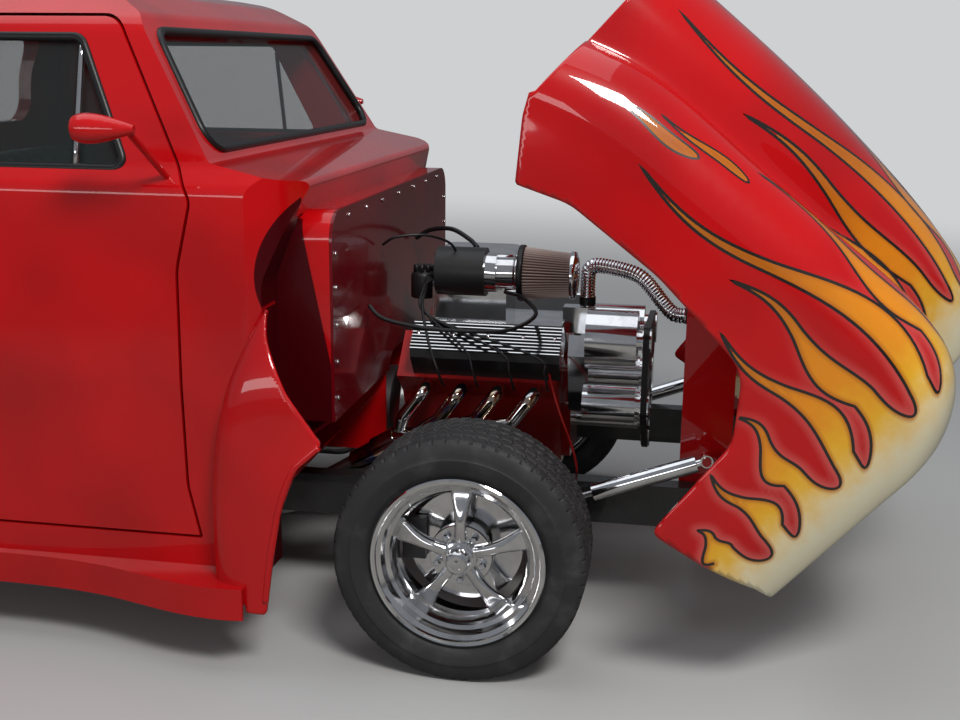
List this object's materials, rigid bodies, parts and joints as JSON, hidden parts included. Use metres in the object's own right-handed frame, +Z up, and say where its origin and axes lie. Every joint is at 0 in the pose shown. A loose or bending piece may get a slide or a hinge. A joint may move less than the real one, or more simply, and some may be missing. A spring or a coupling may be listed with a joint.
{
  "type": "hot rod pickup truck",
  "caption": "Lowered half-ton pickup hot rod with stepside bed, flame-painted front end that tilts forward over a V8, swinging doors, dropping tailgate and steered front wheels.",
  "frame": {"origin": "on the ground, under the middle of the whole truck with its front end tilted open", "axes": "+X ahead, +Y to the truck's left, +Z up"},
  "size_m": [5.2842, 2.0732, 1.83],
  "materials": {
    "red_paint": "gloss",
    "maroon_paint": "gloss",
    "black_paint": "satin",
    "engine_paint": "gloss",
    "polished_alloy": "polished",
    "cast_alloy": "satin",
    "chrome": "polished",
    "steel": "satin",
    "iron": "rough",
    "black_rubber": "matte",
    "tyre_rubber": "matte",
    "clear_glass": "clear",
    "lamp_glass": "clear",
    "red_lens": "gloss",
    "filter_gauze": "matte",
    "seat_cover": "satin",
    "bed_wood": "satin"
  },
  "bodies": {
    "truck": {"chassis_frame": "black_paint", "front_suspension": "black_paint", "rear_axle": "iron", "driveline": "cast_alloy", "fuel_tank": "black_paint", "engine_block": "engine_paint", "valve_covers": "polished_alloy", "intake": "cast_alloy", "air_filter": "filter_gauze", "exhaust_headers": "chrome", "exhaust_system": "steel", "accessory_drive": "polished_alloy", "radiator_support": "red_paint", "radiator": "polished_alloy", "radiator_hose": "chrome", "cab_body": "red_paint", "firewall": "maroon_paint", "cab_glass": "clear_glass", "fender_tails": "red_paint", "running_boards": "red_paint", "dashboard": "red_paint", "steering_column": "polished_alloy", "seat_base": "black_paint", "seat_cushion": "seat_cover", "seat_back": "seat_cover", "bed_floor": "bed_wood", "bed_box": "red_paint", "rear_fenders": "red_paint", "rear_pan": "red_paint", "tail_lamps": "red_lens"},
    "front_end": {"front_shell": "red_paint", "headlamps": "lamp_glass", "grille": "chrome", "hinge_frame": "red_paint"},
    "tilt_cylinders": {"tilt_cylinders": "chrome"},
    "tilt_rods": {"tilt_rods": "steel"},
    "knuckle_left": {"knuckle_left": "iron"},
    "knuckle_right": {"knuckle_right": "iron"},
    "tie_rods": {"tie_rods": "steel"},
    "steering_wheel": {"steering_wheel": "polished_alloy"},
    "door_left": {"door_left": "red_paint", "door_glass_left": "clear_glass"},
    "door_right": {"door_right": "red_paint", "door_glass_right": "clear_glass"},
    "tailgate": {"tailgate": "red_paint"},
    "wheel_front_left": {"wheel_front_left": "polished_alloy", "tyre_front_left": "tyre_rubber"},
    "wheel_front_right": {"wheel_front_right": "polished_alloy", "tyre_front_right": "tyre_rubber"},
    "wheel_rear_left": {"wheel_rear_left": "polished_alloy", "tyre_rear_left": "tyre_rubber"},
    "wheel_rear_right": {"wheel_rear_right": "polished_alloy", "tyre_rear_right": "tyre_rubber"}
  },
  "joints": [
    {"name": "front_end_tilt", "type": "hinge", "parent": "truck", "child": "front_end", "pos_m": [2.08, 0, 0.37], "axis": [0, 1, 0], "range_deg": [-42, 0]},
    {"name": "cylinder_pivot", "type": "hinge", "parent": "front_end", "child": "tilt_cylinders", "pos_m": [1.93, 0, 0.516], "axis": [0, 1, 0], "range_deg": [0, 60]},
    {"name": "cylinder_stroke", "type": "slide", "parent": "tilt_cylinders", "child": "tilt_rods", "axis": [-0.9373, 0, -0.3484], "range_m": [-0.09, 0]},
    {"name": "steer_right", "type": "hinge", "parent": "truck", "child": "knuckle_right", "pos_m": [1.31, -0.7, 0.35], "axis": [0, 0, 1], "range_deg": [-28, 28]},
    {"name": "steer_left", "type": "hinge", "parent": "truck", "child": "knuckle_left", "pos_m": [1.31, 0.7, 0.35], "axis": [0, 0, 1], "range_deg": [-28, 28]},
    {"name": "rack_slide", "type": "slide", "parent": "truck", "child": "tie_rods", "axis": [0, 1, 0], "range_m": [-0.06, 0.06]},
    {"name": "steering_wheel_turn", "type": "hinge", "parent": "truck", "child": "steering_wheel", "pos_m": [0.405, 0.36, 1.13], "axis": [0.8829, 0, -0.4695], "range_deg": [-425, 425]},
    {"name": "door_left_swing", "type": "hinge", "parent": "truck", "child": "door_left", "pos_m": [0.62, 0.867, 0.8], "axis": [0, 0, -1], "range_deg": [0, 65]},
    {"name": "door_right_swing", "type": "hinge", "parent": "truck", "child": "door_right", "pos_m": [0.62, -0.867, 0.8], "axis": [0, 0, 1], "range_deg": [0, 65]},
    {"name": "tailgate_drop", "type": "hinge", "parent": "truck", "child": "tailgate", "pos_m": [-2.584, 0, 0.652], "axis": [0, -1, 0], "range_deg": [0, 90]},
    {"name": "wheel_front_left_spin", "type": "hinge", "parent": "knuckle_left", "child": "wheel_front_left", "pos_m": [1.31, 0.77, 0.332], "axis": [0, 1, 0], "continuous": true},
    {"name": "wheel_front_right_spin", "type": "hinge", "parent": "knuckle_right", "child": "wheel_front_right", "pos_m": [1.31, -0.77, 0.332], "axis": [0, 1, 0], "continuous": true},
    {"name": "wheel_rear_left_spin", "type": "hinge", "parent": "truck", "child": "wheel_rear_left", "pos_m": [-1.484, 0.792, 0.355], "axis": [0, 1, 0], "continuous": true},
    {"name": "wheel_rear_right_spin", "type": "hinge", "parent": "truck", "child": "wheel_rear_right", "pos_m": [-1.484, -0.792, 0.355], "axis": [0, 1, 0], "continuous": true}
  ],
  "couplings": [
    {"joint": "cylinder_pivot", "follows": "front_end_tilt", "ratio": -1.373},
    {"joint": "cylinder_stroke", "follows": "front_end_tilt", "m_per_rad": 0.1208},
    {"joint": "steer_left", "follows": "steer_right", "ratio": 1},
    {"joint": "rack_slide", "follows": "steer_right", "m_per_rad": 0.12},
    {"joint": "steering_wheel_turn", "follows": "steer_right", "ratio": -15}
  ]
}
